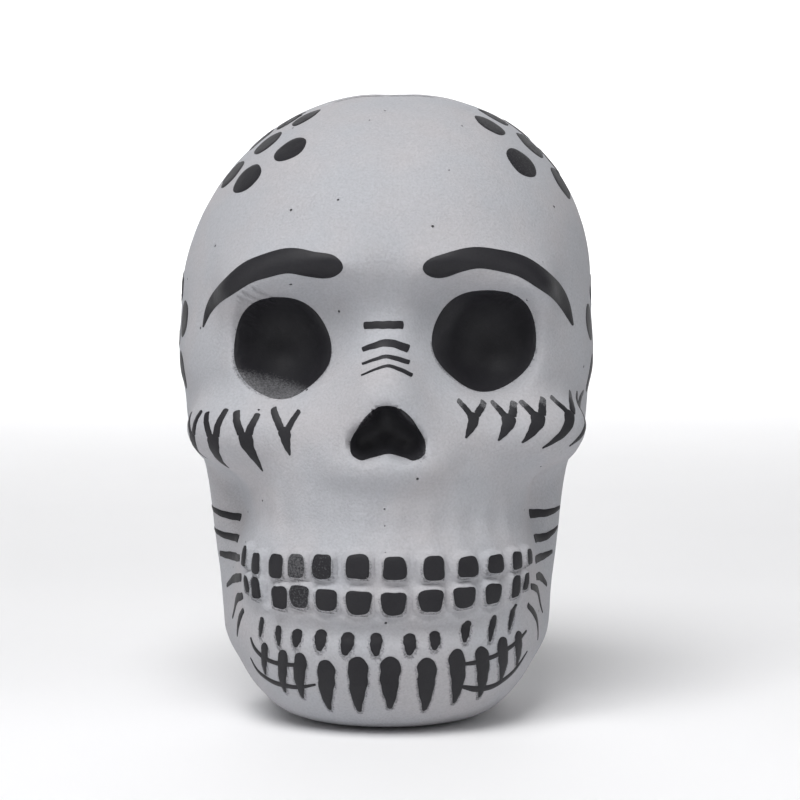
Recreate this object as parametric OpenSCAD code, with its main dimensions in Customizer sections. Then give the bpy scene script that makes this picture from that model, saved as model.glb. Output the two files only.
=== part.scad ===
// Decorated skull moulded in soft foam: a cellular core, a dense skin in two halves that
// meet at the mould's parting line, and black paint marks that lie on the skin.
// X is the width, the face looks along -Y, Z is up, and the flat base stands at z = 0.

/* [Head] */
// Height of the head above the table
head_h = 90; // [86:0.5:94]
// Width across the cranium
cranium_w = 60.6; // [56:0.2:64]
// Depth of the cranium, from forehead to back
cranium_d = 66; // [62:0.5:70]
// Sideways lean of the crown
crown_lean = 1.4; // [0:0.1:2]
// Thickness of the dense skin
skin_t = 1.2; // [0.8:0.1:1.6]

/* [Face] */
// Distance of an eye socket's centre from the middle
eye_x = 15.2; // [14.6:0.1:15.8]
// Height of the eye sockets' centres
eye_z = 54.8; // [54:0.1:55.6]
// Radius of an eye socket's rim
eye_r = 7.5; // [7:0.1:7.8]
// Height of the nose hole's middle
nose_z = 42.9; // [42:0.1:44]
// Height of the cheekbones
cheek_z = 43; // [42:0.5:44]

/* [Jaw] */
// Width of the lower jaw
jaw_w = 44.6; // [42:0.2:46]
// Radius of the row of teeth, seen from above
arch_r = 20.5; // [20:0.1:21]
// Height of the line between upper and lower teeth
bite_z = 22.4; // [22:0.1:23]

/* [Paint] */
// How far the paint stands out of the skin
paint_out = 0.3; // [0.2:0.05:0.4]
// How far the paint reaches into the skin
paint_in = 0.5; // [0.4:0.05:0.6]

/* [Hidden] */

foam_grey = "#b7b9bd";
core_grey = "#d9d7cf";
paint_black = "#26262a";

part_y = -2;               // plane where the two skin halves meet
arch_y = -12;              // axis of the tooth row
dome_y = 3.5;              // centre of the cranium
dome_z = head_h - 29.7;
side_r = 29;               // nominal radius for marks on the sides of the face
dome_r = 32;               // nominal radius for marks on the cranium
set_back = 1.4;            // moves the finished head so that it stands centred on the origin

rows = 46;                 // bands of the skin from base to crown
front_columns = 48;
back_columns = 12;
halvings = 13;             // steps of the search for the skin along a ray

// ---- the shape: a signed distance, negative inside ------------------------
// Every bone and every hollow is a rounded solid. Bones melt together over a blend
// length, and hollows are carved out of them.

function clamp(v) = max(0, min(1, v));
function melt(a, b, k) =
    let (h = clamp(0.5 + 0.5 * (b - a) / k)) b * (1 - h) + a * h - k * h * (1 - h);
function carve(a, b, k) = -melt(-a, b, k);

function egg(p, c, r) =
    let (q = [(p.x - c.x) / r.x, (p.y - c.y) / r.y, (p.z - c.z) / r.z],
         k0 = norm(q), k1 = norm([q.x / r.x, q.y / r.y, q.z / r.z]))
    k0 * (k0 - 1) / max(k1, 0.000001);
function rod(p, a, ra, b, rb) =
    let (ab = b - a, t = clamp(((p - a) * ab) / (ab * ab)))
    norm(p - a - t * ab) - ra - (rb - ra) * t;
function drum(p, c, r, h, edge) =
    let (u = norm([p.x - c.x, p.y - c.y]) - r + edge, v = abs(p.z - c.z) - h + edge)
    min(max(u, v), 0) + norm([max(u, 0), max(v, 0)]) - edge;

// The left and the right half share one set of bones; the crown leans sideways.
function folded(p) = [abs(p.x - crown_lean * clamp((p.z - 62) / 22)), p.y, p.z];

function cranium(q) = egg([max(q.x - 2, 0), q.y, q.z], [0, dome_y, dome_z],
                          [cranium_w / 2 - 2, cranium_d / 2, head_h - dome_z]);
function neck(q) = egg(q, [0, 2, 22], [20, 20, 36]);
function temples(q) = egg(q, [0, -3, 50], [29.2, 25, 15]);
function face(q) = egg(q, [0, arch_y, 47], [20, 18.3, 16]);
function upper_jaw(q) = drum(q, [0, arch_y + 0.5, 31], arch_r - 0.5, 13.5, 8);
function lower_jaw(q) = egg(q, [0, arch_y + 0.5, 14], [jaw_w / 2, 21.5, 17.5]);
function jaw_side(q) = rod(q, [20.2, -1.5, 38], 6.6, [17.2, -8, 14], 6.2);
function gums(q) = drum(q, [0, arch_y, bite_z], arch_r, 5, 3);
function brow_bone(q) = egg(q, [11.5, -21.5, eye_z + 7.7], [11, 8.4, 4.6]);
function cheek(q) = egg(q, [17, -15.5, cheek_z - 0.6], [11.5, 10.3, 6.8]);
function cheek_arch(q) = rod(q, [22.8, -8, cheek_z - 1.2], 5.9, [24.2, 4, cheek_z + 1], 5.2);
function bridge(q) = rod(q, [0, -26, 58], 2.6, [0, -28.5, 47.5], 4.2);
function nose_wing(q) = rod(q, [2, -28, 47], 3.2, [6.2, -27.6, 40.4], 2.9);
function nose_sill(q) = egg(q, [0, -28, nose_z - 4.9], [8, 4.8, 2.7]);

function nose_root(q) = egg(q, [0, -35, eye_z + 4.4], [10, 8.8, 5.5]);
function orbit(q) = egg(q, [eye_x - 0.4, -33.5, eye_z + 0.2], [11.6, 12.4, 10.3]);
function orbit_corner(q) = egg(q, [9, -30, eye_z + 3.8], [5, 7.5, 4.6]);
function socket(q) = egg(q, [eye_x, -26, eye_z], [eye_r, 9, eye_r + 0.1]);
function nostril(q) = egg(q, [2.6, -32, nose_z - 1.2], [2.6, 4, 2.5]);
function nose_top(q) = egg(q, [0, -32, nose_z + 1.7], [2, 3.8, 2.4]);
function nose_middle(q) = egg(q, [0, -32, nose_z], [3.3, 4.4, 2.8]);

function bones(q) =
    let (d0 = melt(cranium(q), neck(q), 8),
         d1 = melt(d0, temples(q), 6),
         d2 = melt(d1, face(q), 6),
         d3 = melt(d2, upper_jaw(q), 7),
         d4 = melt(d3, lower_jaw(q), 5),
         d5 = melt(d4, jaw_side(q), 3),
         d6 = melt(d5, gums(q), 4),
         d7 = melt(d6, brow_bone(q), 6),
         d8 = melt(d7, cheek(q), 3),
         d9 = melt(d8, cheek_arch(q), 3),
         d10 = melt(d9, bridge(q), 5),
         d11 = melt(d10, nose_wing(q), 3))
    melt(d11, nose_sill(q), 3);

function skull(p) =
    let (q = folded(p),
         c0 = carve(bones(q), nose_root(q), 6),
         c1 = carve(c0, orbit(q), 4.5),
         c2 = carve(c1, orbit_corner(q), 4),
         c3 = carve(c2, socket(q), 1.2),
         c4 = carve(c3, nostril(q), 1),
         c5 = carve(c4, nose_top(q), 1),
         c6 = carve(c5, nose_middle(q), 1))
    -melt(-c6, p.z, 2.5);

// Distance along the ray from o towards d at which the skull's distance passes level.
function reach(o, d, level, near, far, n) =
    let (m = (near + far) / 2)
    n == 0 ? m
    : skull(o + m * d) < level ? reach(o, d, level, m, far, n - 1)
                               : reach(o, d, level, near, m, n - 1);

// ---- core and skin --------------------------------------------------------
// The grid's rays start on a small upright disc inside the head. az turns from the face
// to the side, el climbs from the base to the crown.

function ray_way(az, el) = [cos(el) * sin(az), -cos(el) * cos(az), sin(el)];
function on_grid(az, el, level) =
    let (d = ray_way(az, el), o = [14 * d.x, part_y, 45 + 24 * d.z * (2 - abs(d.z))])
    o + reach(o, d, level, 0, 64, halvings) * d;

// Rows are closest at the face's height, and columns are closest at the nose.
function row_el(j) = let (s = 2 * j / rows - 1) 90 * (0.35 * s + 0.65 * s * s * s);
front_az = [for (i = [0:front_columns])
    let (s = 2 * i / front_columns - 1) 90 * (0.75 * s + 0.25 * s * s * s)];
back_az = [for (i = [0:back_columns]) 90 + 180 * i / back_columns];

// One layer of points: the base's pole, the rows between the poles, the crown's pole.
function layer(azs, level) = concat(
    [on_grid(0, -90, level)],
    [for (j = [1:rows - 1], az = azs) on_grid(az, row_el(j), level)],
    [on_grid(0, 90, level)]);

// Number of the point at row j and column i in a layer with w columns.
function spot(j, i, w) = j == 0 ? 0 : j == rows ? 1 + (rows - 1) * w : 1 + (j - 1) * w + i;

function layer_faces(w, cells) =
    [for (j = [0:rows - 1], i = [0:cells - 1])
        let (k = (i + 1) % w,
             a = spot(j, i, w), b = spot(j, k, w), c = spot(j + 1, k, w), d = spot(j + 1, i, w))
        each concat(j == rows - 1 ? [] : [[a, d, c]], j == 0 ? [] : [[a, c, b]])];

module centred() translate([0, -set_back, 0]) children();

module half_skin(azs) {
    w = len(azs);
    m = 2 + (rows - 1) * w;
    outer = layer_faces(w, w - 1);
    inner = [for (f = outer) [f[2] + m, f[1] + m, f[0] + m]];
    edges = [for (j = [0:rows - 1])
        let (p = spot(j, 0, w), q = spot(j + 1, 0, w),
             r = spot(j, w - 1, w), s = spot(j + 1, w - 1, w))
        each [[p + m, q + m, q], [p + m, q, p], [r + m, r, s], [r + m, s, s + m]]];
    walls = [for (f = edges) if (f[0] != f[1] && f[1] != f[2] && f[0] != f[2]) f];
    centred() polyhedron(concat(layer(azs, 0), layer(azs, -skin_t)), concat(outer, inner, walls));
}

module foam_core() {
    azs = concat([for (i = [0:front_columns - 1]) front_az[i]],
                 [for (i = [0:back_columns - 1]) back_az[i]]);
    color(core_grey) centred()
        polyhedron(layer(azs, -skin_t), layer_faces(len(azs), len(azs)));
}
module skin_front() color(foam_grey) half_skin(front_az);
module skin_back() color(foam_grey) half_skin(back_az);

// ---- paint marks ----------------------------------------------------------
// A mark is drawn on a sheet, in mm across and mm up, and a ray lands each of its points
// on the skin. Each landed point keeps its ray, so that the film has two faces.

function degrees_of(arc, radius) = arc / radius * 180 / PI;
function arc_of(az, radius) = az * PI / 180 * radius;
function landed(o, d) = [o + reach(o, d, 0, 2, 46, halvings) * d, d];

// Seen from the front: across is x and up is z.
front = function(u, v) landed([u, -6, v], [0, -1, 0]);
// Round the tooth row's axis, and round the middle of the head.
arch = function(u, v) landed([0, arch_y, v], ray_way(degrees_of(u, arch_r), 0));
side = function(u, v) landed([0, part_y, v], ray_way(degrees_of(u, side_r), 0));
// Out from the middle of the cranium, near the azimuth and elevation of a sheet's middle.
function dome(az, el) = function(u, v)
    landed([0, dome_y, dome_z], ray_way(az + degrees_of(u, dome_r) / cos(el),
                                        el + degrees_of(v, dome_r)));

// A closed film over landed points: tops are its outer triangles and rim its outline.
function film(hits, tops, rim) =
    let (m = len(hits), n = len(rim))
    [concat([for (h = hits) h[0] + paint_out * h[1]], [for (h = hits) h[0] - paint_in * h[1]]),
     concat(tops, [for (f = tops) [f[2] + m, f[1] + m, f[0] + m]],
            [for (i = [0:n - 1]) let (a = rim[i], b = rim[(i + 1) % n])
                each [[a + m, a, b], [a + m, b, b + m]]])];

// All films of one node, as one set of separate closed shells.
module films(list) {
    counts = [for (f = list) len(f[0])];
    starts = [for (i = 0, s = 0; i < len(list); s = s + counts[i], i = i + 1) s];
    color(paint_black) centred() polyhedron(
        [for (f = list) each f[0]],
        [for (i = [0:len(list) - 1], t = list[i][1]) [for (v = t) v + starts[i]]]);
}

// A patch inside an outline: its middle, and rings that grow from it to the outline.
function patch(sheet, middle, outline, rings) =
    let (n = len(outline),
         flat = concat([middle], [for (r = [1:rings], p = outline)
                                     middle + (p - middle) * r / rings]),
         tops = concat(
             [for (i = [0:n - 1]) [0, 1 + (i + 1) % n, 1 + i]],
             rings == 1 ? [] : [for (r = [0:rings - 2], i = [0:n - 1])
                 let (a = 1 + r * n + i, b = 1 + r * n + (i + 1) % n)
                 each [[a, b, b + n], [a, b + n, a + n]]]))
    film([for (p = flat) sheet(p.x, p.y)], tops, [for (i = [0:n - 1]) 1 + (rings - 1) * n + i]);

// A brush stroke along stations [across, up, width], with even faces over its width.
function turned(a, b) = let (d = b - a, l = max(norm(d), 0.001)) [d.y / l, -d.x / l];
function stroke(sheet, path, across = 1) =
    let (n = len(path), w = across + 1,
         spine = [for (p = path) [p.x, p.y]],
         hits = [for (i = [0:n - 1])
             let (right = turned(spine[max(i - 1, 0)], spine[min(i + 1, n - 1)]))
             for (k = [0:across])
                 let (p = spine[i] + right * path[i][2] * (k / across - 0.5)) sheet(p.x, p.y)],
         tops = [for (i = [0:n - 2], k = [0:across - 1])
             let (a = i * w + k, b = a + 1, c = b + w, d = a + w) each [[a, d, c], [a, c, b]]],
         rim = concat([for (k = [0:across - 1]) k],
                      [for (i = [0:n - 2]) i * w + across],
                      [for (k = [across:-1:1]) (n - 1) * w + k],
                      [for (i = [n - 1:-1:1]) i * w]))
    film(hits, tops, rim);

function oval(middle, rx, ry, n) =
    [for (i = [0:n - 1]) let (t = 360 * i / n) middle + [rx * cos(t), ry * sin(t)]];
function squarish(middle, rx, ry, n) =
    [for (i = [0:n - 1])
        let (t = 360 * (i + 0.5) / n, c = cos(t), s = sin(t),
             k = pow(pow(abs(c), 3) + pow(abs(s), 3), -1 / 3))
        middle + [rx * k * c, ry * k * s]];
function dot(sheet, middle, rx, ry) = patch(sheet, middle, oval(middle, rx, ry, 14), 1);

// A path given by azimuths becomes a path on a sheet of that radius.
function unrolled(path, radius) = [for (p = path) [arc_of(p[0], radius), p[1], p[2]]];

// ---- eyes, nose, brows ----

eye_left = [-14.8, 54.3];
eye_right = [13.9, 55.4];
module eye_paint_left() films([patch(front, eye_left, oval(eye_left, 6.9, 7.1, 28), 4)]);
module eye_paint_right() films([patch(front, eye_right, oval(eye_right, 7.4, 7.2, 28), 4)]);

// Right half of the nose's outline, from its top round the nostril to the middle below.
nose_half = [[0, 3.7], [1.6, 3.3], [2.9, 2.3], [4.2, 0.5], [5.2, -1.3], [5, -2.8],
             [3.7, -3.6], [2, -3.3], [0, -2.8]];
module nose_paint() {
    middle = [0.2, nose_z];
    outline = concat([for (i = [0:8]) middle + nose_half[8 - i]],
                     [for (i = [1:7]) middle + [-nose_half[i].x, nose_half[i].y]]);
    films([patch(front, middle, outline, 3)]);
}

// Brows run from the nose outwards, as [x, z, width].
brow_left_path = [[-6, 66.1, 1.8], [-7.4, 66.1, 3.3], [-10.6, 66.4, 3.8], [-14.4, 66.5, 3.5],
                  [-19, 65, 3.3], [-23, 62.1, 2.7], [-25.4, 58.9, 1.6], [-26.2, 56.6, 0.3]];
brow_right_path = [[5, 65.7, 1.8], [6.8, 65.7, 3], [9.8, 66.5, 3.1], [13.2, 67, 2.9],
                   [18, 66.1, 2.9], [22.3, 63.5, 2.6], [25.5, 59.6, 1.5], [26.7, 56.8, 0.3]];
module brow_left() films([stroke(front, brow_left_path, 2)]);
module brow_right() films([stroke(front, brow_right_path, 2)]);

// Four wrinkles over the nose, each from its left end over its middle to its right end.
wrinkles = [[[-3.2, 57.8, 1], [-0.4, 58, 1.05], [2.4, 57.9, 1.1]],
            [[-3.4, 54.6, 0.8], [-1.6, 55.3, 1], [0.2, 55.6, 1.1], [1.6, 55.2, 1.1],
             [3.1, 54.6, 1.1]],
            [[-3.4, 52.9, 0.3], [-1.6, 53.6, 0.5], [0, 54, 0.6], [1.5, 53.5, 0.7],
             [3.2, 52.8, 0.6]],
            [[-3.5, 51.3, 0.2], [-1.6, 52.2, 0.4], [0.2, 52.6, 0.5], [1.8, 52, 0.6],
             [3.6, 51.1, 0.5]]];
module bridge_stripes() films([for (w = wrinkles) stroke(front, w)]);

// ---- flowers of dots ----
// A flower has a middle dot and petals at [direction, distance] from it.

function flower(az, el, petals) =
    let (sheet = dome(az, el))
    concat([dot(sheet, [0, 0], 2.7, 2.7)],
           [for (p = petals) dot(sheet, p[1] * [cos(p[0]), sin(p[0])], 2.6, 2.7)]);

module crown_flower_left() films(flower(-62, 49,
    [[68, 7.4], [-15, 8.6], [-68, 8.4], [-118, 7.4], [170, 7], [118, 7]]));
module crown_flower_right() films(flower(71, 45,
    [[148, 8.6], [-155, 8.8], [-79, 7.2], [-25, 7.2], [32, 7.2], [90, 7.2]]));

ring_of_petals = [for (k = [0:5]) [60 * k + 25, 7.4]];
module temple_flower_left() films(flower(-84, -11, ring_of_petals));
module temple_flower_right() films(flower(85, -12, [for (p = ring_of_petals) [p[0] + 130, 7.4]]));

// ---- lashes on the cheeks ----
// Each lash forks upwards: [left tip, right tip, fork, tail], each an azimuth and a height.

lashes_left = [[[-62, 44.6], [-56, 45.2], [-57.5, 42.8], [-62, 37.4]],
               [[-53, 45], [-47.5, 45.6], [-49.6, 42.8], [-53.5, 37]],
               [[-44, 45.4], [-39, 45.2], [-40.3, 43], [-38.6, 37]],
               [[-34, 45.9], [-27.5, 45.7], [-29.8, 43.8], [-28.4, 39.6]]];
lashes_right = [[[22, 47.3], [31, 46.9], [26, 45.6], [22.6, 42.2]],
                [[33.5, 46.9], [39, 46.8], [36, 45.4], [33, 41.6]],
                [[41.2, 46.9], [47, 47.2], [43, 45.6], [40.2, 41.2]],
                [[51, 47.3], [60, 47.5], [53.5, 45.8], [46.6, 40.2]],
                [[66, 47], [73, 46.6], [66, 45.2], [56, 40.3]]];
function lash(l) =
    let (mid = (l[2] + l[3]) / 2 + [0, 0.4])
    [stroke(side, unrolled([[l[0].x, l[0].y, 0.8], [l[2].x, l[2].y, 1.2]], side_r)),
     stroke(side, unrolled([[l[1].x, l[1].y, 0.8], [l[2].x, l[2].y, 1.2]], side_r)),
     stroke(side, unrolled([[l[2].x, l[2].y + 0.7, 1.9], [mid.x, mid.y, 1.6],
                            [l[3].x, l[3].y, 0.25]], side_r))];
module cheek_lashes_left() films([for (l = lashes_left) each lash(l)]);
module cheek_lashes_right() films([for (l = lashes_right) each lash(l)]);

// ---- teeth ----
// Painted faces of the teeth, as [azimuth, height over the bite line, width, height].

upper = [[-64.8, 2.2, 1.3, 2.9], [-55.5, 1.6, 1.8, 3], [-44.1, 1.7, 2.4, 3.4],
         [-34.7, 2, 2.5, 3.3], [-24, 2.2, 2.7, 3.4], [-10.4, 2.4, 3.1, 3.4],
         [3, 2.2, 3, 3.2], [17.3, 2.1, 2.8, 3.4], [30.9, 2, 3, 2.9],
         [43.6, 2, 2.8, 2.6], [55.7, 2, 2.2, 2.5], [65.6, 2.1, 1.5, 2.2]];
lower = [[-61.3, -1.6, 1.3, 2.3], [-54.9, -1.8, 1.9, 3], [-41.7, -2.6, 2.6, 3.1],
         [-33, -2.2, 2.8, 3.1], [-22, -2.4, 2.9, 3], [-10, -2.6, 3.2, 3.3],
         [2.5, -2.7, 3.1, 3.2], [16, -2.4, 3.2, 3.1], [29, -2.2, 3.1, 2.9],
         [41.8, -2.1, 2.7, 2.8], [54.4, -1.6, 1.9, 3], [61.7, -1.2, 1.5, 2.3]];
function tooth(t) =
    let (middle = [arc_of(t[0], arch_r), bite_z + t[1]])
    patch(arch, middle, squarish(middle, t[2] / 2, t[3] / 2, 12), 1);
module upper_teeth() films([for (t = upper) tooth(t)]);
module lower_teeth() films([for (t = lower) tooth(t)]);

// ---- drops and fangs on the chin ----

// A drop is [azimuth of the top, its height, width, length, sideways lean of the foot].
drops = [[-54, 16.4, 0.9, 2.9, -0.4], [-45, 15.6, 1, 2.9, 0.1], [-36, 15.4, 1.5, 2.6, -0.2],
         [-26, 15.6, 1.7, 3, 0], [-14.5, 15.4, 1.8, 3.2, -0.5], [-4, 15.4, 1.6, 3.2, 0],
         [9.2, 15.3, 1.7, 3, -0.2], [19.4, 15.5, 1.5, 2.6, -0.4], [33, 16.7, 1.3, 3, -0.8],
         [45, 17.1, 1, 3.7, -1], [56, 18.2, 1, 3.6, -1.2]];
function drop(d) =
    [for (s = [[0, 0.75], [0.2, 1], [0.6, 0.95], [1, 0.35]])
        [arc_of(d[0], arch_r) + d[4] * s[0], d[1] - d[3] * s[0], d[2] * s[1]]];
module chin_drops() films([for (d = drops) stroke(arch, drop(d))]);

// Each fang runs down the chin as [azimuth above, its height, azimuth below, its height, width].
fangs = [[-52, 12.8, -57, 7.9, 1.4], [-42, 12.2, -49, 5.6, 1.7], [-34, 12.1, -40, 5.1, 2],
         [-23, 11.4, -28, 3.6, 2.6], [-10.5, 12.1, -13, 3.6, 2.8], [1.3, 12.2, 1.6, 4.2, 2.8],
         [15, 11.9, 18, 3.7, 2.7], [27, 12.9, 32, 4.6, 2.4], [37.5, 12.9, 45, 5, 2.2],
         [48, 13.8, 54, 7, 2], [58, 14.2, 62, 9, 1.7]];
function fang(f) =
    let (a = [arc_of(f[0], arch_r), f[1]], b = [arc_of(f[2], arch_r), f[3]])
    [for (s = [[0, 0.55], [0.12, 0.95], [0.3, 1], [0.65, 0.8], [1, 0.25]])
        let (p = a + s[0] * (b - a)) [p.x, p.y, s[1] * f[4]]];
module chin_fangs() films([for (f = fangs) stroke(arch, fang(f))]);

// ---- stripes on the sides of the jaw, and stitches at its corners ----
// Stations are [azimuth, height, width].

stripes_left = [[[-64, 28.8, 1], [-72, 28.9, 0.9], [-80, 29.5, 0.5]],
                [[-60, 26, 1], [-70, 25.9, 0.9], [-79, 26.3, 0.5]],
                [[-54.5, 23.8, 0.9], [-63, 23.4, 0.9], [-73, 23.1, 0.5]],
                [[-53.5, 20.9, 1], [-60, 20.4, 1], [-66, 19, 0.4]],
                [[-51.5, 18.4, 0.9], [-56.5, 17.6, 0.9], [-60, 14.8, 0.3]],
                [[-50.5, 16.5, 0.8], [-52, 15.2, 0.9], [-53.8, 13.2, 0.3]]];
stripes_right = [[[61, 29.4, 1.4], [70, 29.2, 1.1], [78, 29.6, 0.5]],
                 [[60, 26, 1.2], [69, 25.8, 1.1], [77, 26.8, 0.5]],
                 [[57, 23.2, 1.1], [66, 23.1, 1.1], [74, 23.4, 0.6]],
                 [[56, 20.8, 0.9], [62, 20.4, 1.3], [68, 18.8, 0.6]],
                 [[50, 20, 0.9], [57, 18.8, 1.1], [61.5, 15.4, 0.4]],
                 [[47, 17.5, 0.8], [53, 15.6, 1.1], [58.5, 11.6, 0.4]]];
module jaw_stripes_left() films([for (s = stripes_left) stroke(side, unrolled(s, side_r))]);
module jaw_stripes_right() films([for (s = stripes_right) stroke(side, unrolled(s, side_r))]);

stitches_left = [[[-62, 13.1, 0.4], [-60, 11.8, 0.7], [-53, 10.4, 0.7], [-45, 10.1, 0.7],
                  [-36, 10.3, 0.5]],
                 [[-65, 10, 0.3], [-62.5, 8.3, 0.7], [-57, 7.3, 0.8], [-48.6, 6.8, 0.8],
                  [-39.5, 6.8, 0.6], [-30, 7.6, 0.3]]];
stitches_right = [[[31, 10.6, 0.5], [37, 10.7, 0.7], [45, 11.2, 0.7], [54.4, 12.2, 0.7],
                   [65, 13.9, 0.4]],
                  [[32, 7.2, 0.5], [40, 6.6, 0.9], [47, 6.4, 0.9], [55, 7, 0.9],
                   [62.6, 8.6, 0.8], [68, 10.8, 0.3]]];
module corner_stitches_left() films([for (s = stitches_left) stroke(arch, unrolled(s, arch_r))]);
module corner_stitches_right()
    films([for (s = stitches_right) stroke(arch, unrolled(s, arch_r))]);

foam_core();
skin_front();
skin_back();
eye_paint_left();
eye_paint_right();
nose_paint();
brow_left();
brow_right();
bridge_stripes();
crown_flower_left();
crown_flower_right();
temple_flower_left();
temple_flower_right();
cheek_lashes_left();
cheek_lashes_right();
upper_teeth();
lower_teeth();
chin_drops();
chin_fangs();
jaw_stripes_left();
jaw_stripes_right();
corner_stitches_left();
corner_stitches_right();
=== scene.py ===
"""A decorated skull moulded in soft grey foam, with black paint on its face, crown and jaw.

The foam's skin is one padded shape in two mould halves. Its surface comes from rounded bones
that melt together and hollows that are carved out, as in the part's own design, with teeth
and gums raised on it. Each paint mark is a thin film that lies on that skin.
Lengths are in millimetres until they become vertices, and the face looks along -Y.
"""

import math

import bpy
import numpy as np
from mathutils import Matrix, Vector, noise
from mathutils.bvhtree import BVHTree
from mathutils.kdtree import KDTree


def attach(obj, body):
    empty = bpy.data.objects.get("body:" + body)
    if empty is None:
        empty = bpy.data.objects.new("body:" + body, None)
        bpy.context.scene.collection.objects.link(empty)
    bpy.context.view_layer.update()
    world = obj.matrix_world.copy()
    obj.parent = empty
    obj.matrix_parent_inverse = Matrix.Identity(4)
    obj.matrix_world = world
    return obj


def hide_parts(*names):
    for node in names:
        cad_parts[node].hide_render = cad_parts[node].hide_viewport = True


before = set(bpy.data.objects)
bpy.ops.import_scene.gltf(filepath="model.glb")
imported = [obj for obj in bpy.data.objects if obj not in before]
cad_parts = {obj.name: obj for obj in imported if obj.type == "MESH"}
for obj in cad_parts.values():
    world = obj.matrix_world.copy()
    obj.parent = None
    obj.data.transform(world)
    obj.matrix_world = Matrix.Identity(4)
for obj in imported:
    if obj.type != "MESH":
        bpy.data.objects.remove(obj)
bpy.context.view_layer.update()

MM = 0.001

# ---- driving dimensions, in millimetres ------------------------------------

CRANIUM_W = 60.6
CRANIUM_D = 66.0
CROWN_LEAN = 1.4
SKIN_T = 1.2
EYE_X, EYE_Z, EYE_R = 15.2, 54.8, 7.5
NOSE_Z = 42.9
CHEEK_Z = 43.0
JAW_W = 44.6
ARCH_R = 20.5
BITE_Z = 22.4

PART_Y = -2.0
ARCH_Y = -12.0
DOME_Y = 3.5
DOME_Z = 90.0 - 29.7
SIDE_R = 29.0
DOME_R = 32.0
SET_BACK = 1.4

COLUMNS = 300
FRONT_COLUMNS = 214
ROWS = 230

FILM_EDGE = 0.04
FILM_LIFT = 0.1
FILM_T = 0.25

# The teeth, the gums' ridge under them and the roots above them, as raised on the skin.
TOOTH_RISE = 0.85
TOOTH_MARGIN_U, TOOTH_MARGIN_V = 0.5, 0.45
TOOTH_SQUARENESS = 3.5
GUM_WAVE, ROOT_WAVE = 13.2, 13.6
GUM_RISE, ROOT_RISE, FOLD_DEPTH = 0.42, 0.16, 0.7


# ---- the skull's surface ---------------------------------------------------


def melt(a, b, k):
    """Two distances as one, blended over the length k."""
    h = np.clip(0.5 + 0.5 * (b - a) / k, 0, 1)
    return b * (1 - h) + a * h - k * h * (1 - h)


def carve(a, b, k):
    return -melt(-a, b, k)


def length(v):
    return np.sqrt((v * v).sum(-1))


def egg(q, c, r):
    v = (q - c) / r
    k0 = length(v)
    return k0 * (k0 - 1) / np.maximum(length(v / r), 1e-6)


def rod(q, a, ra, b, rb):
    a, ab = np.array(a), np.subtract(b, a)
    t = np.clip((q - a) @ ab / (ab @ ab), 0, 1)
    return length(q - a - t[..., None] * ab) - ra - (rb - ra) * t


def drum(q, c, r, h, edge):
    u = np.hypot(q[..., 0] - c[0], q[..., 1] - c[1]) - r + edge
    v = np.abs(q[..., 2] - c[2]) - h + edge
    return np.minimum(np.maximum(u, v), 0) + np.hypot(np.maximum(u, 0), np.maximum(v, 0)) - edge


def cranium(q):
    wide = q.copy()
    wide[..., 0] = np.maximum(q[..., 0] - 2, 0)
    return egg(wide, (0, DOME_Y, DOME_Z), (CRANIUM_W / 2 - 2, CRANIUM_D / 2, 90 - DOME_Z))


def bones(q):
    d = melt(cranium(q), egg(q, (0, 2, 22), (20, 20, 36)), 8)  # neck
    d = melt(d, egg(q, (0, -3, 50), (29.2, 25, 15)), 6)  # temples
    d = melt(d, egg(q, (0, ARCH_Y, 47), (20, 18.3, 16)), 6)  # middle of the face
    d = melt(d, drum(q, (0, ARCH_Y + 0.5, 31), ARCH_R - 0.5, 13.5, 8), 7)  # upper jaw
    d = melt(d, egg(q, (0, ARCH_Y + 0.5, 14), (JAW_W / 2, 21.5, 17.5)), 5)  # lower jaw
    d = melt(d, rod(q, (20.2, -1.5, 38), 6.6, (17.2, -8, 14), 6.2), 3)  # side of the jaw
    d = melt(d, drum(q, (0, ARCH_Y, BITE_Z), ARCH_R, 5, 3), 4)  # gums
    d = melt(d, egg(q, (11.5, -21.5, EYE_Z + 7.7), (11, 8.4, 4.6)), 6)  # brow
    d = melt(d, egg(q, (17, -15.5, CHEEK_Z - 0.6), (11.5, 10.3, 6.8)), 3)  # cheek
    d = melt(d, rod(q, (22.8, -8, CHEEK_Z - 1.2), 5.9, (24.2, 4, CHEEK_Z + 1), 5.2), 3)
    d = melt(d, rod(q, (0, -26, 58), 2.6, (0, -28.5, 47.5), 4.2), 5)  # bridge of the nose
    d = melt(d, rod(q, (2, -28, 47), 3.2, (6.2, -27.6, 40.4), 2.9), 3)  # wings of the nose
    return melt(d, egg(q, (0, -28, NOSE_Z - 4.9), (8, 4.8, 2.7)), 3)  # sill under the nose


def skull(p):
    """Signed distance to the skin, negative inside."""
    lean = CROWN_LEAN * np.clip((p[..., 2] - 62) / 22, 0, 1)
    q = np.stack([np.abs(p[..., 0] - lean), p[..., 1], p[..., 2]], -1)
    d = bones(q)
    d = carve(d, egg(q, (0, -35, EYE_Z + 4.4), (10, 8.8, 5.5)), 6)  # root of the nose
    d = carve(d, egg(q, (EYE_X - 0.4, -33.5, EYE_Z + 0.2), (11.6, 12.4, 10.3)), 4.5)  # orbit
    d = carve(d, egg(q, (9, -30, EYE_Z + 3.8), (5, 7.5, 4.6)), 4)  # inner corner of the orbit
    d = carve(d, egg(q, (EYE_X, -26, EYE_Z), (EYE_R, 9, EYE_R + 0.1)), 1.2)  # eye socket
    d = carve(d, egg(q, (2.6, -32, NOSE_Z - 1.2), (2.6, 4, 2.5)), 1)  # nostrils
    d = carve(d, egg(q, (0, -32, NOSE_Z + 1.7), (2, 3.8, 2.4)), 1)  # top of the nose hole
    d = carve(d, egg(q, (0, -32, NOSE_Z), (3.3, 4.4, 2.8)), 1)
    return -melt(-d, p[..., 2], 2.5)


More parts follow.
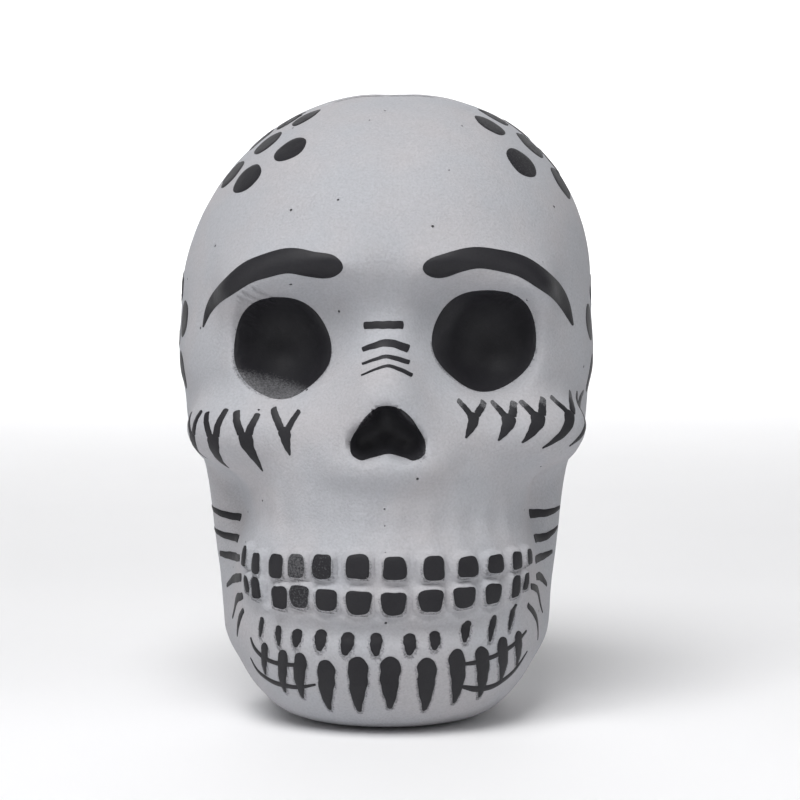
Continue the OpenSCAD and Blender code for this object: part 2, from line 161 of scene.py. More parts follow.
def outward(p, h=0.05):
    """Unit direction in which the distance grows fastest."""
    g = np.stack([skull(p + h * e) - skull(p - h * e) for e in np.eye(3)], -1)
    return g / length(g)[..., None]


# ---- places of the drawn marks ----------------------------------------------
# Azimuths in degrees, heights and widths in millimetres.

# Teeth as [azimuth, height of the middle, width, height].
UPPER_TEETH = (
    (-64.8, 24.6, 1.3, 2.9), (-55.5, 24, 1.8, 3), (-44.1, 24.1, 2.4, 3.4), (-34.7, 24.4, 2.5, 3.3),
    (-24, 24.6, 2.7, 3.4), (-10.4, 24.8, 3.1, 3.4), (3, 24.6, 3, 3.2), (17.3, 24.5, 2.8, 3.4),
    (30.9, 24.4, 3, 2.9), (43.6, 24.4, 2.8, 2.6), (55.7, 24.4, 2.2, 2.5), (65.6, 24.5, 1.5, 2.2),
)  # fmt: skip
LOWER_TEETH = (
    (-61.3, 20.8, 1.3, 2.3), (-54.9, 20.6, 1.9, 3), (-41.7, 19.8, 2.6, 3.1), (-33, 20.2, 2.8, 3.1),
    (-22, 20, 2.9, 3), (-10, 19.8, 3.2, 3.3), (2.5, 19.7, 3.1, 3.2), (16, 20, 3.2, 3.1),
    (29, 20.2, 3.1, 2.9), (41.8, 20.3, 2.7, 2.8), (54.4, 20.8, 1.9, 3), (61.7, 21.2, 1.5, 2.3),
)  # fmt: skip


# ---- relief on the skin ------------------------------------------------------


def rise(x):
    """Smooth step from 0 to 1 as x goes from 0 to 1."""
    x = np.clip(x, 0, 1)
    return x * x * (3 - 2 * x)


def tooth_relief(p):
    """How far the teeth stand out of the gums, in millimetres."""
    az = np.degrees(np.arctan2(p[..., 0], ARCH_Y - p[..., 1]))
    z = p[..., 2]
    high = np.zeros(len(p))
    for a, mid, w, h in UPPER_TEETH + LOWER_TEETH:
        u = np.abs(az - a) * math.radians(ARCH_R) / (w / 2 + TOOTH_MARGIN_U)
        v = np.abs(z - mid) / (h / 2 + TOOTH_MARGIN_V)
        edge = (u**TOOTH_SQUARENESS + v**TOOTH_SQUARENESS) ** (1 / TOOTH_SQUARENESS)
        high = np.maximum(high, TOOTH_RISE * rise((1.12 - edge) / 0.3))
    return high


def gum_relief(p):
    """A scalloped ridge under the lower teeth and soft roots above the upper ones."""
    az = np.degrees(np.arctan2(p[..., 0], ARCH_Y - p[..., 1]))
    z = p[..., 2]
    front = rise((75 - np.abs(az)) / 20)
    scallops = 0.35 * np.cos(np.radians((az + 4) * 360 / GUM_WAVE))
    ridge_z = 16.9 + scallops + 2.4 * (az / 69) ** 2
    ridge = GUM_RISE * np.exp(-(((z - ridge_z) / 0.6) ** 2))
    roots = ROOT_RISE * np.cos(np.radians((az - 3) * 360 / ROOT_WAVE))
    roots = roots * np.exp(-(((z - 30) / 3.2) ** 2))
    fold = FOLD_DEPTH * np.exp(-(((z - 15.6) / 1.5) ** 2)) * rise((50 - np.abs(az)) / 25)
    return front * (ridge + roots - fold)


# ---- points and shapes in Blender --------------------------------------------


def only(*objects):
    """Selects these objects and nothing else, and makes the first one active."""
    bpy.ops.object.select_all(action="DESELECT")
    for o in objects:
        o.select_set(True)
    bpy.context.view_layer.objects.active = objects[0]


def points(obj):
    co = np.empty(len(obj.data.vertices) * 3)
    obj.data.vertices.foreach_get("co", co)
    return co.reshape(-1, 3)


def set_points(obj, co):
    obj.data.vertices.foreach_set("co", np.ascontiguousarray(co, float).ravel())
    obj.data.update()


def into_frame(p):
    """From the design's millimetres to metres in the shared frame."""
    return (p - (0, SET_BACK, 0)) * MM


def thicken(obj, depth):
    """Gives a sheet its thickness on its inner side."""
    wall = obj.modifiers.new("wall", "SOLIDIFY")
    wall.thickness = depth * MM
    wall.offset = -1
    only(obj)
    bpy.ops.object.modifier_apply(modifier=wall.name)


# ---- the head's surface ------------------------------------------------------


def grid_azimuth(az):
    """Turns evenly spread columns so that most of them lie on the face."""
    edge = 180 * FRONT_COLUMNS / COLUMNS
    s = az / edge
    back = np.sign(az) * (90 + 90 * (np.abs(az) - edge) / (180 - edge))
    return np.where(np.abs(az) <= edge, 90 * (0.8 * s + 0.2 * s**3), back)


def grid_elevation(el):
    """Moves evenly spread rows towards the teeth, the nose and the eyes."""
    fine = np.linspace(-90, 90, 721)
    weight = 0.4 + 1.7 * np.exp(-(((fine + 8) / 25) ** 2))
    part = np.concatenate([[0], np.cumsum((weight[1:] + weight[:-1]) / 2)])
    return np.interp((el + 90) / 180, part / part[-1], fine)


def skin_points(az, el):
    """Points of the bare skin on rays that leave a small upright disc inside the head."""
    az, el = np.radians(az), np.radians(el)
    way = np.stack([np.cos(el) * np.sin(az), -np.cos(el) * np.cos(az), np.sin(el)], -1)
    start_z = 45 + 24 * way[:, 2] * (2 - np.abs(way[:, 2]))
    start = np.stack([14 * way[:, 0], 0 * az + PART_Y, start_z], -1)
    near, far = np.zeros(len(az)), np.full(len(az), 64.0)
    for _ in range(17):
        t = (near + far) / 2
        inside = skull(start + t[:, None] * way) < 0
        near, far = np.where(inside, t, near), np.where(inside, far, t)
    return start + near[:, None] * way


def unevenness(p):
    """Slight waves that a soft casting keeps from its mould, in millimetres."""
    wide = np.array([noise.noise(Vector(q) / 9) for q in p])
    close = np.array([noise.noise(Vector(q) / 2.6 + Vector((7, 0, 3))) for q in p])
    return 0.12 * wide + 0.035 * close


def make_head():
    """The whole outer surface, as a ball whose points are moved onto the skull."""
    bpy.ops.object.select_all(action="DESELECT")
    bpy.ops.mesh.primitive_uv_sphere_add(segments=COLUMNS, ring_count=ROWS, radius=1)
    head = bpy.context.object
    ball = points(head)
    az = np.degrees(np.arctan2(ball[:, 0], -ball[:, 1]))
    el = np.degrees(np.arcsin(np.clip(ball[:, 2] / length(ball), -1, 1)))
    az, el = grid_azimuth(az), grid_elevation(el)
    p = skin_points(az, el)
    n = outward(p)
    seam = 0.1 * np.exp(-(((np.abs(az) - 90) / 0.8) ** 2))
    relief = tooth_relief(p) + gum_relief(p) + unevenness(p) + seam
    set_points(head, into_frame(p + (relief * rise(p[:, 2] / 3))[:, None] * n))
    return head


head = make_head()
head_tree = BVHTree.FromObject(head, bpy.context.evaluated_depsgraph_get())

# ---- sheets that marks are drawn on ------------------------------------------
# A sheet takes points in millimetres across and up, and gives for each one a place inside
# the head and the way from there out to the skin.


def way_of(az, el=0.0):
    az, el = np.radians(az), np.radians(el) + 0 * np.radians(az)
    return np.stack([np.cos(el) * np.sin(az), -np.cos(el) * np.cos(az), np.sin(el)], -1)


def front(u, v):
    return np.stack([u, 0 * u - 6, v], -1), way_of(0 * u)


def arch(u, v):
    return np.stack([0 * u, 0 * u + ARCH_Y, v], -1), way_of(np.degrees(u / ARCH_R))


def side(u, v):
    return np.stack([0 * u, 0 * u + PART_Y, v], -1), way_of(np.degrees(u / SIDE_R))


def dome(az, el):
    def sheet(u, v):
        turn = az + np.degrees(u / DOME_R) / math.cos(math.radians(el))
        start = np.tile((0.0, DOME_Y, DOME_Z), (len(u), 1))
        return start, way_of(turn, el + np.degrees(v / DOME_R))

    return sheet


def round_arc(az, radius):
    """Distance round a sheet of this radius to an azimuth."""
    return np.radians(az) * radius


# ---- films of paint ----------------------------------------------------------


def canvas(along, across):
    """A flat grid for one mark, with its points as s along and t across, from -1 to 1."""
    bpy.ops.object.select_all(action="DESELECT")
    bpy.ops.mesh.primitive_grid_add(x_subdivisions=along, y_subdivisions=across, size=2)
    mark = bpy.context.object
    st = points(mark)
    return mark, st[:, 0], st[:, 1]


def lay(mark, sheet, u, v, inwards, wear):
    """Lands a mark on the skin, as a film that thickens inwards from its rim."""
    start, way = sheet(u, v)
    film = FILM_EDGE + (FILM_LIFT - FILM_EDGE) * rise(inwards / 0.4)
    landed = []
    for s, w, lift in zip(into_frame(start), way, film):
        where, normal, _, _ = head_tree.ray_cast(Vector(s + 0.06 * w), Vector(-w))
        landed.append(where + normal * lift * MM)
    set_points(mark, np.array(landed))
    worn = mark.data.attributes.new("wear", "FLOAT", "POINT")
    worn.data.foreach_set("value", (wear + 0 * u).astype(np.float32))
    rim = mark.data.attributes.new("inwards", "FLOAT", "POINT")
    rim.data.foreach_set("value", inwards.astype(np.float32))
    return mark


def wavering(turn, phase):
    """An outline's slight unevenness, as a factor on its size."""
    return 1 + 0.022 * np.sin(3 * turn + 5 * phase) + 0.016 * np.sin(5 * turn + 9 * phase)


def patch(sheet, middle, rx, ry, power=2.0, cells=14, phase=0.0, wear=0.0, taper=0.0, slant=0.0):
    """A round or squarish patch; power 2 is an oval and more is squarer."""
    mark, s, t = canvas(cells, cells)
    k = np.maximum(np.abs(s), np.abs(t))
    r = k / np.maximum((np.abs(s) ** power + np.abs(t) ** power) ** (1 / power), 1e-9)
    packed = np.sin(k * math.pi / 2) / np.maximum(k, 1e-9)  # closer rings near the rim
    k, r = k * packed, r * packed * wavering(np.arctan2(t, s), phase)
    if callable(wear):
        wear = wear(s * r, t * r)
    u = rx * s * r * (1 + taper * t * r) + slant * t * r
    return lay(mark, sheet, middle[0] + u, middle[1] + ry * t * r, (1 - k) * rx, wear)


def hole_patch(sheet, middle, outline, cells):
    """A patch whose outline runs through given points round its middle."""
    mark, s, t = canvas(cells, cells)
    k = np.maximum(np.abs(s), np.abs(t))
    turn = np.arctan2(t, s)
    outline = along_path([(*p, 0) for p in (*outline, outline[0])], np.arange(160) / 160)[0][:, :2]
    radii = length(outline)
    turns = np.arctan2(outline[:, 1], outline[:, 0])
    k = np.sin(k * math.pi / 2)
    r = k / np.interp(turn, *zip(*sorted(zip(turns, 1 / radii))), period=2 * math.pi)
    u, v = middle[0] + r * np.cos(turn), middle[1] + r * np.sin(turn)
    return lay(mark, sheet, u, v, (1 - k) * 4, 0.0)


def along_path(path, part):
    """Stations [across, up, width] joined by a smooth curve, at a part from 0 to 1 of it."""
    path = np.array(path, float)
    gaps = length(np.diff(path[:, :2], axis=0))
    at = np.concatenate([[0], np.cumsum(gaps)])
    x = np.clip(part, 0, 1) * at[-1]
    slope = np.gradient(path, at, axis=0)
    i = np.clip(np.searchsorted(at, x, side="right") - 1, 0, len(gaps) - 1)
    h = gaps[i][:, None]
    k = (x - at[i])[:, None] / h
    return (
        (2 * k**3 - 3 * k**2 + 1) * path[i]
        + (k**3 - 2 * k**2 + k) * h * slope[i]
        + (3 * k**2 - 2 * k**3) * path[i + 1]
        + (k**3 - k**2) * h * slope[i + 1]
    ), at[-1]


def stroke(sheet, path, along=26, across=6, phase=0.0, wear=0.0, blunt=1.0):
    """A brush stroke along a path of stations; blunt below 1 gives it squarer ends."""
    mark, s, t = canvas(along, across)
    part = 0.5 + 0.5 * np.sin(s * math.pi / 2)
    here, total = along_path(path, part)
    ahead = along_path(path, part + 0.01)[0] - along_path(path, part - 0.01)[0]
    ahead = ahead[:, :2] / length(ahead[:, :2])[:, None]
    half = np.maximum(here[:, 2], 0.12) / 2
    end = np.minimum(part, 1 - part) * total / (half * blunt)
    half = half * np.sqrt(np.clip(1 - (1 - np.clip(end, 0, 1)) ** 2, 0.01, 1))
    shaky = 0.06 * np.sin(part * 9 + 5 * phase) + 0.05 * np.sin(part * 23 + 11 * phase)
    half = half * (1 + shaky * np.sign(t))
    u = here[:, 0] - ahead[:, 1] * half * t
    v = here[:, 1] + ahead[:, 0] * half * t
    if callable(wear):
        wear = wear(part, t)
    return lay(mark, sheet, u, v, (1 - np.abs(t)) * half, wear)


paint_pieces = []


def painted(name, node, marks):
    """One piece of paint from its marks, in place of the part's node."""
    only(*marks)
    if len(marks) > 1:
        bpy.ops.object.join()
    piece = bpy.context.object
    piece.name = piece.data.name = name
    thicken(piece, FILM_T)
    bpy.ops.object.shade_smooth_by_angle(angle=math.radians(40))
    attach(piece, "root")
    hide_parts(node)
    paint_pieces.append(piece)
    return piece


# ---- eyes, nose and brows ----------------------------------------------------

EYE_LEFT = (-14.8, 54.3)
EYE_RIGHT = (13.9, 55.4)


def thin_below(s, t):
    """Wear of the left eye, where the brush left the bottom thinly covered."""
    return 0.5 * rise((-t - 0.35 - 0.25 * s) / 0.5)


painted(
    "eye_paint_left_film",
    "eye_paint_left",
    [patch(front, EYE_LEFT, 6.9, 7.1, cells=80, phase=0.3, wear=thin_below)],
)
painted(
    "eye_paint_right_film",
    "eye_paint_right",
    [patch(front, EYE_RIGHT, 7.4, 7.2, cells=80, phase=1.1)],
)

NOSE_HALF = (
    (0, 3.95), (1.8, 3.6), (3.1, 2.5), (4.3, 0.6), (5.2, -1.3), (5, -2.8), (3.7, -3.6), (2, -3.3),
    (0, -2.8),
)  # fmt: skip
nose_outline = NOSE_HALF + tuple((-x, z) for x, z in NOSE_HALF[-2:0:-1])
painted("nose_paint_film", "nose_paint", [hole_patch(front, (0.2, NOSE_Z), nose_outline, 50)])

BROW_LEFT = (
    (-6, 65.8, 1.8), (-7.4, 65.9, 3.1), (-10.6, 66.2, 3.6), (-14.4, 66.4, 3.4),
    (-19, 65, 3), (-23, 62.1, 2.1), (-25.4, 58.9, 1), (-26.2, 56.6, 0.2),
)  # fmt: skip
BROW_RIGHT = (
    (5, 65.7, 1.8), (6.8, 65.7, 3), (9.8, 66.5, 3.1), (13.2, 67, 2.9),
    (18, 66.1, 2.9), (22.3, 63.5, 2.6), (25.5, 59.6, 1.5), (26.7, 56.8, 0.3),
)  # fmt: skip
painted("brow_left_film", "brow_left", [stroke(front, BROW_LEFT, 70, 10, 0.4)])
painted("brow_right_film", "brow_right", [stroke(front, BROW_RIGHT, 70, 10, 1.3)])

# Wrinkles over the nose, from the left end over the middle to the right end.
WRINKLES = (
    ((-3.2, 57.5, 1), (-0.4, 57.7, 1.05), (2.4, 57.6, 1.1)),
    ((-3.4, 54.3, 0.6), (-1.6, 54.9, 0.8), (0.2, 55.3, 1), (1.6, 55, 1), (3.1, 54.3, 1.1)),
    ((-3.4, 52.4, 0.3), (-1.6, 53.1, 0.4), (0, 53.5, 0.5), (1.5, 53.2, 0.6), (3.2, 52.6, 0.6)),
    ((-3.5, 50.9, 0.2), (-1.6, 51.8, 0.3), (0.2, 52.3, 0.4), (1.8, 51.8, 0.5), (3.6, 50.9, 0.5)),
)
painted(
    "bridge_stripes_film",
    "bridge_stripes",
    [stroke(front, w, 30, 6, i, 0.05, 0.3) for i, w in enumerate(WRINKLES)],
)

# ---- flowers of dots ---------------------------------------------------------


def flower(az, el, petals, wear=0.0):
    """A middle dot and petals at [direction, distance] from it."""
    sheet = dome(az, el)
    marks = [patch(sheet, (0, 0), 2.7, 2.7, phase=az, wear=wear)]
    for i, (turn, far) in enumerate(petals):
        at = (far * math.cos(math.radians(turn)), far * math.sin(math.radians(turn)))
        marks.append(patch(sheet, at, 2.6, 2.7, phase=az + i, wear=wear))
    return marks


CROWN_LEFT = ((68, 7.4), (-15, 8.6), (-68, 8.4), (-118, 7.4), (170, 7), (118, 7))
CROWN_RIGHT = ((148, 8.6), (-155, 8.8), (-79, 7.2), (-25, 7.2), (32, 7.2), (90, 7.2))
TEMPLE_LEFT = [(60 * k + 25, 7.4) for k in range(6)]
TEMPLE_RIGHT = [(60 * k + 155, 7.4) for k in range(6)]

painted("crown_flower_left_film", "crown_flower_left", flower(-62, 49, CROWN_LEFT, 0.12))
painted("crown_flower_right_film", "crown_flower_right", flower(71, 45, CROWN_RIGHT, 0.3))
painted("temple_flower_left_film", "temple_flower_left", flower(-84, -11, TEMPLE_LEFT))
painted("temple_flower_right_film", "temple_flower_right", flower(85, -12, TEMPLE_RIGHT))

# ---- lashes on the cheeks ----------------------------------------------------
# [left tip, right tip, fork, tail], each an azimuth and a height.

LASHES_LEFT = (
    ((-62.5, 44.6), (-55, 45.2), (-57.5, 42.2), (-65, 36.8)),
    ((-52.4, 45.1), (-46.6, 45.7), (-48.8, 42.2), (-52.5, 37)),
    ((-43.8, 45.5), (-38, 45.2), (-40, 42.7), (-38.6, 37)),
    ((-34.8, 46), (-26.4, 45.8), (-29.8, 43.6), (-28, 39.6)),
)
LASHES_RIGHT = (
    ((22, 47.3), (31, 46.9), (26, 45.6), (22.2, 42.2)),
    ((33.2, 46.9), (39.4, 46.8), (36.2, 45.3), (32.4, 41.6)),
    ((41, 46.9), (47.8, 47.2), (43.8, 45.4), (38.8, 41.2)),
    ((50.6, 47.3), (62.6, 47.5), (54.2, 45.4), (44.6, 40.3)),
    ((69.5, 47.2), (77, 46.9), (67, 45.5), (53.5, 40.3)),
)


def unrolled(path, radius):
    return [(round_arc(az, radius), z, w) for az, z, w in path]


def lash(tip_1, tip_2, fork, tail, tip_wear):
    """A lash that forks upwards; its thin tips may be worn."""

    def fading(part, _):
        return tip_wear * rise((0.75 - part) / 0.5)

    def arm(tip, aside):
        """A thin stroke from a tip down to the fork, ending to one side of its middle."""
        path = unrolled([(*tip, 0.8), (fork[0], fork[1] - 0.5, 1.05)], SIDE_R)
        path[1] = (path[1][0] + aside, *path[1][1:])
        return stroke(side, path, 14, 4, tip[0], fading, 0.4)

    marks = [arm(tip_1, -0.45), arm(tip_2, 0.45)]
    start, reach = np.array(fork) - (0, 0.1), np.subtract(tail, fork)
    widths = ((0, 1.6), (0.2, 1.85), (0.45, 1.5), (0.75, 0.95), (1, 0.25))
    body = [(*(start + reach * (part**1.5, part)), width) for part, width in widths]
    return marks + [stroke(side, unrolled(body, SIDE_R), 24, 6, tail[0], 0.05, 0.5)]


painted("cheek_lashes_left_film", "cheek_lashes_left", [m for l in LASHES_LEFT for m in lash(*l, 0)])
painted(
    "cheek_lashes_right_film", "cheek_lashes_right", [m for l in LASHES_RIGHT for m in lash(*l, 0.5)]
)

# ---- teeth -------------------------------------------------------------------


def tooth(az, mid, w, h, taper, slant, worn):
    at = (round_arc(az, ARCH_R), mid)
    lean = slant * (az / 60) ** 3
    return patch(arch, at, w / 2, h / 2, 3.8, 16, az, worn.get(az, 0.06), taper, lean)


painted(
    "upper_teeth_film",
    "upper_teeth",
    [tooth(*t, -0.04, 0, {-34.7: 0.42, -24: 0.3, -55.5: 0.2}) for t in UPPER_TEETH],
)
painted(
    "lower_teeth_film",
    "lower_teeth",
    [tooth(*t, 0.14, 0.5, {-33: 0.33, -41.7: 0.2}) for t in LOWER_TEETH],
)

# ---- drops and fangs on the chin ---------------------------------------------

# [azimuth of the top, its height, width, length, sideways lean of the foot]
DROPS = (
    (-54, 16.4, 0.9, 2.9, -0.4), (-45, 15.6, 1, 2.9, 0.1), (-36, 15.4, 1.5, 2.6, -0.2),
    (-26, 15.6, 1.7, 3, 0), (-14.5, 15.4, 1.8, 3.2, -0.5), (-4, 15.4, 1.6, 3.2, 0),
    (9.2, 15.3, 1.7, 3, -0.2), (19.4, 15.5, 1.5, 2.6, -0.4), (33, 16.7, 1.3, 3, -0.8),
    (45, 17.1, 1, 3.7, -1), (56, 18.2, 1, 3.6, -1.2),
)  # fmt: skip


def drop(az, top, width, long, lean):
    u = round_arc(az, ARCH_R)
    widths = ((0, 0.75), (0.2, 1), (0.6, 0.95), (1, 0.35))
    return [(u + lean * part, top - long * part, width * w) for part, w in widths]


# [azimuth above, its height, azimuth below, its height, width]
FANGS = (
    (-52, 12.8, -57, 7.9, 1.4), (-42, 12.2, -49, 5.6, 1.7), (-34, 12.1, -40, 5.1, 2),
    (-23, 11.4, -28, 3.6, 2.6), (-10.5, 12.1, -13, 3.6, 2.8), (1.3, 12.2, 1.6, 4.2, 2.8),
    (15, 11.9, 18, 3.7, 2.7), (27, 12.9, 32, 4.6, 2.4), (37.5, 12.9, 45, 5, 2.2),
    (48, 13.8, 54, 7, 2), (58, 14.2, 62, 9, 1.7),
)  # fmt: skip


def fang(az_1, z_1, az_2, z_2, width):
    a, b = np.array((round_arc(az_1, ARCH_R), z_1)), np.array((round_arc(az_2, ARCH_R), z_2))
    widths = ((0, 0.55), (0.12, 0.95), (0.3, 1), (0.65, 0.8), (1, 0.25))
    return [(*(a + part * (b - a)), width * w) for part, w in widths]


painted(
    "chin_drops_film", "chin_drops", [stroke(arch, drop(*d), 24, 6, d[0], 0.08, 0.6) for d in DROPS]
)
painted(
    "chin_fangs_film", "chin_fangs", [stroke(arch, fang(*f), 34, 8, f[0], 0.07, 0.75) for f in FANGS]
)

# ---- stripes on the sides of the jaw, and stitches at its corners -------------
# Stations are [azimuth, height, width].

STRIPES_LEFT = (
    ((-65.5, 28.8, 1.1), (-74, 28.9, 1), (-86, 29.6, 0.6)),
    ((-61, 26, 1.1), (-71, 25.9, 1), (-84, 26.4, 0.6)),
    ((-54, 23.7, 1), (-64, 23.3, 1.2), (-77, 23.1, 0.8)),
    ((-50.6, 21.1, 1.2), (-60, 20.4, 1.3), (-69, 18.8, 0.6)),
    ((-48.8, 18.7, 1), (-55.5, 17.6, 1.3), (-60.5, 14.6, 0.5)),
    ((-48.4, 16.7, 0.8), (-51.6, 15.2, 1.2), (-54.4, 12.4, 0.4)),
)
STRIPES_RIGHT = (
    ((64, 29.4, 1.4), (73, 29.2, 1.1), (83, 29.6, 0.5)),
    ((61.5, 26, 1.2), (71, 25.8, 1.1), (81, 26.8, 0.5)),
    ((57.5, 23.2, 1.1), (66, 23.1, 1.1), (76, 23.4, 0.6)),
    ((56.5, 20.8, 0.9), (63.5, 20.4, 1.3), (70, 18.8, 0.6)),
    ((49.5, 20, 0.9), (57.5, 18.8, 1.1), (63.5, 15.2, 0.4)),
    ((47, 17.5, 0.8), (53, 15.6, 1.1), (58.5, 11.6, 0.4)),
)
STITCHES_LEFT = (
    ((-62, 13.1, 0.4), (-60, 11.8, 0.7), (-53, 10.4, 0.7), (-45, 10.1, 0.7), (-36, 10.3, 0.5)),
    (
        (-65, 10, 0.3), (-62.5, 8.3, 0.7), (-57, 7.3, 0.8), (-48.6, 6.8, 0.8), (-39.5, 6.8, 0.6),
        (-30, 7.6, 0.3),
    ),
)  # fmt: skip
STITCHES_RIGHT = (
    ((31, 10.6, 0.5), (37, 10.7, 0.7), (45, 11.2, 0.7), (54.4, 12.2, 0.7), (65, 13.9, 0.4)),
    (
        (32, 7.2, 0.5), (40, 6.6, 0.9), (47, 6.4, 0.9), (55, 7, 0.9), (62.6, 8.6, 0.8),
        (68, 10.8, 0.3),
    ),
)  # fmt: skip


def lines(sheet, radius, paths, along):
    return [stroke(sheet, unrolled(p, radius), along, 6, p[0][0], 0.05, 0.4) for p in paths]


painted("jaw_stripes_left_film", "jaw_stripes_left", lines(side, SIDE_R, STRIPES_LEFT, 24))
painted("jaw_stripes_right_film", "jaw_stripes_right", lines(side, SIDE_R, STRIPES_RIGHT, 24))
painted("corner_stitches_left_film", "corner_stitches_left", lines(arch, ARCH_R, STITCHES_LEFT, 50))
painted(
    "corner_stitches_right_film", "corner_stitches_right", lines(arch, ARCH_R, STITCHES_RIGHT, 50)
)

# ---- overspray and painted shade under the lower rims, and the two halves of the skin ---

HOLE_PIECES = ("eye_paint_left_film", "eye_paint_right_film", "nose_paint_film")
SPRAY_AND_SHADE_PIECES = HOLE_PIECES + (
    "upper_teeth_film", "lower_teeth_film", "chin_drops_film", "chin_fangs_film",
)  # fmt: skip


def rim_points():
    """Points on the rims of the sprayed marks, moved down a little, as stray paint and painted shade
    lie just under them.

    The holes have clean upper edges, so only the lower half of their rims counts.
    """
    rims = []
    for piece in paint_pieces:
        if piece.name in SPRAY_AND_SHADE_PIECES:
            inwards = np.empty(len(piece.data.vertices), np.float32)
            piece.data.attributes["inwards"].data.foreach_get("value", inwards)
            rim = points(piece)[inwards < 0.05]
            if piece.name in HOLE_PIECES:
                rim = rim[rim[:, 2] < rim[:, 2].mean()]
            rims.append(rim - (0, 0, 0.4 * MM))
    return np.concatenate(rims)


def haze_and_shade(co):
    """How much stray paint and painted shade lie on each point, from the distance to the nearest
    rim.
    """
    rims = rim_points()
    tree = KDTree(len(rims))
    for i, p in enumerate(rims):
        tree.insert(p, i)
    tree.balance()
    near = np.array([tree.find(p)[2] for p in co]) / MM
    return np.exp(-((near / 0.5) ** 2))


def half_of(head, name, node, front_half):
    """One mould half of the skin, as a closed shell with its real thickness."""
    half = head.copy()
    half.data = head.data.copy()
    half.name = half.data.name = name
    bpy.context.collection.objects.link(half)
    only(half)
    bpy.ops.object.mode_set(mode="EDIT")
    bpy.ops.mesh.select_all(action="SELECT")
    bpy.ops.mesh.bisect(
        plane_co=(0, (PART_Y - SET_BACK) * MM, 0),
        plane_no=(0, 1, 0),
        clear_outer=front_half,
        clear_inner=not front_half,
    )
    bpy.ops.object.mode_set(mode="OBJECT")
    thicken(half, SKIN_T)
    bpy.ops.object.shade_smooth_by_angle(angle=math.radians(50))
    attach(half, "root")
    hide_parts(node)
    return half


# Dark haze round the lower rims of the holes and teeth: partly stray paint, partly painted shade.
spray_and_shade = head.data.attributes.new("spray_and_shade", "FLOAT", "POINT")
spray_and_shade.data.foreach_set("value", haze_and_shade(points(head)).astype(np.float32))
skin_halves = [
    half_of(head, "skin_front_foam", "skin_front", True),
    half_of(head, "skin_back_foam", "skin_back", False),
]
bpy.data.objects.remove(head)

# ---- materials ---------------------------------------------------------------


class Value:
    """An output of a material's node; sums and products of it add maths nodes."""

    def __init__(self, finish, socket):
        self.finish, self.socket = finish, socket

    def __add__(self, other):
        return self.finish.maths("ADD", self, other)

    def __sub__(self, other):
        return self.finish.maths("SUBTRACT", self, other)

    def __rsub__(self, other):
        return self.finish.maths("SUBTRACT", other, self)

    def __mul__(self, other):
        return self.finish.maths("MULTIPLY", self, other)

    def __gt__(self, other):
        return self.finish.maths("GREATER_THAN", self, other)

    __radd__ = __add__
    __rmul__ = __mul__


class Finish:
    """A material whose nodes are all added by one method."""

    def __init__(self, name, colour, roughness, gloss=0.5):
        self.material = bpy.data.materials.new(name)
        self.material.use_nodes = True
        self.tree = self.material.node_tree
        self.shader = self.tree.nodes["Principled BSDF"]
        self.shader.inputs["Base Color"].default_value = (*colour, 1)
        self.shader.inputs["Roughness"].default_value = roughness
        self.shader.inputs["Specular IOR Level"].default_value = gloss
        self.material.diffuse_color = (*colour, 1)
        self.where = self.node("ShaderNodeTexCoord", {}, {}, "Object")

    def node(self, kind, settings, inputs, out=0):
        made = self.tree.nodes.new(kind)
        for key, value in settings.items():
            setattr(made, key, value)
        for key, value in inputs.items():
            if isinstance(value, Value):
                self.tree.links.new(value.socket, made.inputs[key])
            else:
                made.inputs[key].default_value = value
        return Value(self, made.outputs[out])

    def maths(self, kind, a, b=0.0, clamp=False):
        return self.node("ShaderNodeMath", {"operation": kind, "use_clamp": clamp}, {0: a, 1: b})

    def clamped(self, a):
        return self.maths("ADD", a, 0.0, True)

    def grain(self, size, detail=2.0):
        """Noise from 0 to 1 with features of this size in millimetres."""
        inputs = {"Vector": self.where, "Scale": 1 / (size * MM), "Detail": detail}
        return self.node("ShaderNodeTexNoise", {}, inputs)

    def blend(self, a, b, factor):
        """Colour a, changing to colour b as the factor goes from 0 to 1."""
        settings = {"data_type": "RGBA", "clamp_factor": True}
        return self.node("ShaderNodeMix", settings, {0: factor, 6: a, 7: b}, 2)

    def scaled(self, colour, factor):
        settings = {"operation": "SCALE"}
        return self.node("ShaderNodeVectorMath", settings, {0: colour, 3: factor})

    def attribute(self, name):
        return self.node("ShaderNodeAttribute", {"attribute_name": name}, {}, "Fac")

    def pinholes(self, spacing, radius, share):
        """1 in small round pores and 0 elsewhere; share of all pores are open."""
        inputs = {"Vector": self.where, "Scale": 1 / (spacing * MM)}
        near = self.node("ShaderNodeTexVoronoi", {}, inputs, "Distance")
        pick = self.node("ShaderNodeTexVoronoi", {}, inputs, "Color")
        open_ones = pick_one(self, pick) > 1 - share
        depth = self.clamped((1 - near * (spacing / radius)) * 2.5)
        return open_ones * depth

    def finished(self, colour=None, roughness=None, height=None):
        """Links what varies; height is in millimetres."""
        bump = self.node("ShaderNodeBump", {}, {"Strength": 1.0, "Distance": MM, "Height": height})
        for key, value in (("Base Color", colour), ("Roughness", roughness), ("Normal", bump)):
            self.tree.links.new(value.socket, self.shader.inputs[key])
        return self.material


def pick_one(finish, colour):
    return finish.node("ShaderNodeSeparateColor", {}, {0: colour}, 0)


FOAM = (0.405, 0.411, 0.437)
WARM_FOAM = (0.42, 0.412, 0.43)
PAINT = (0.0155, 0.0148, 0.0182)
CORE = (0.62, 0.6, 0.55)


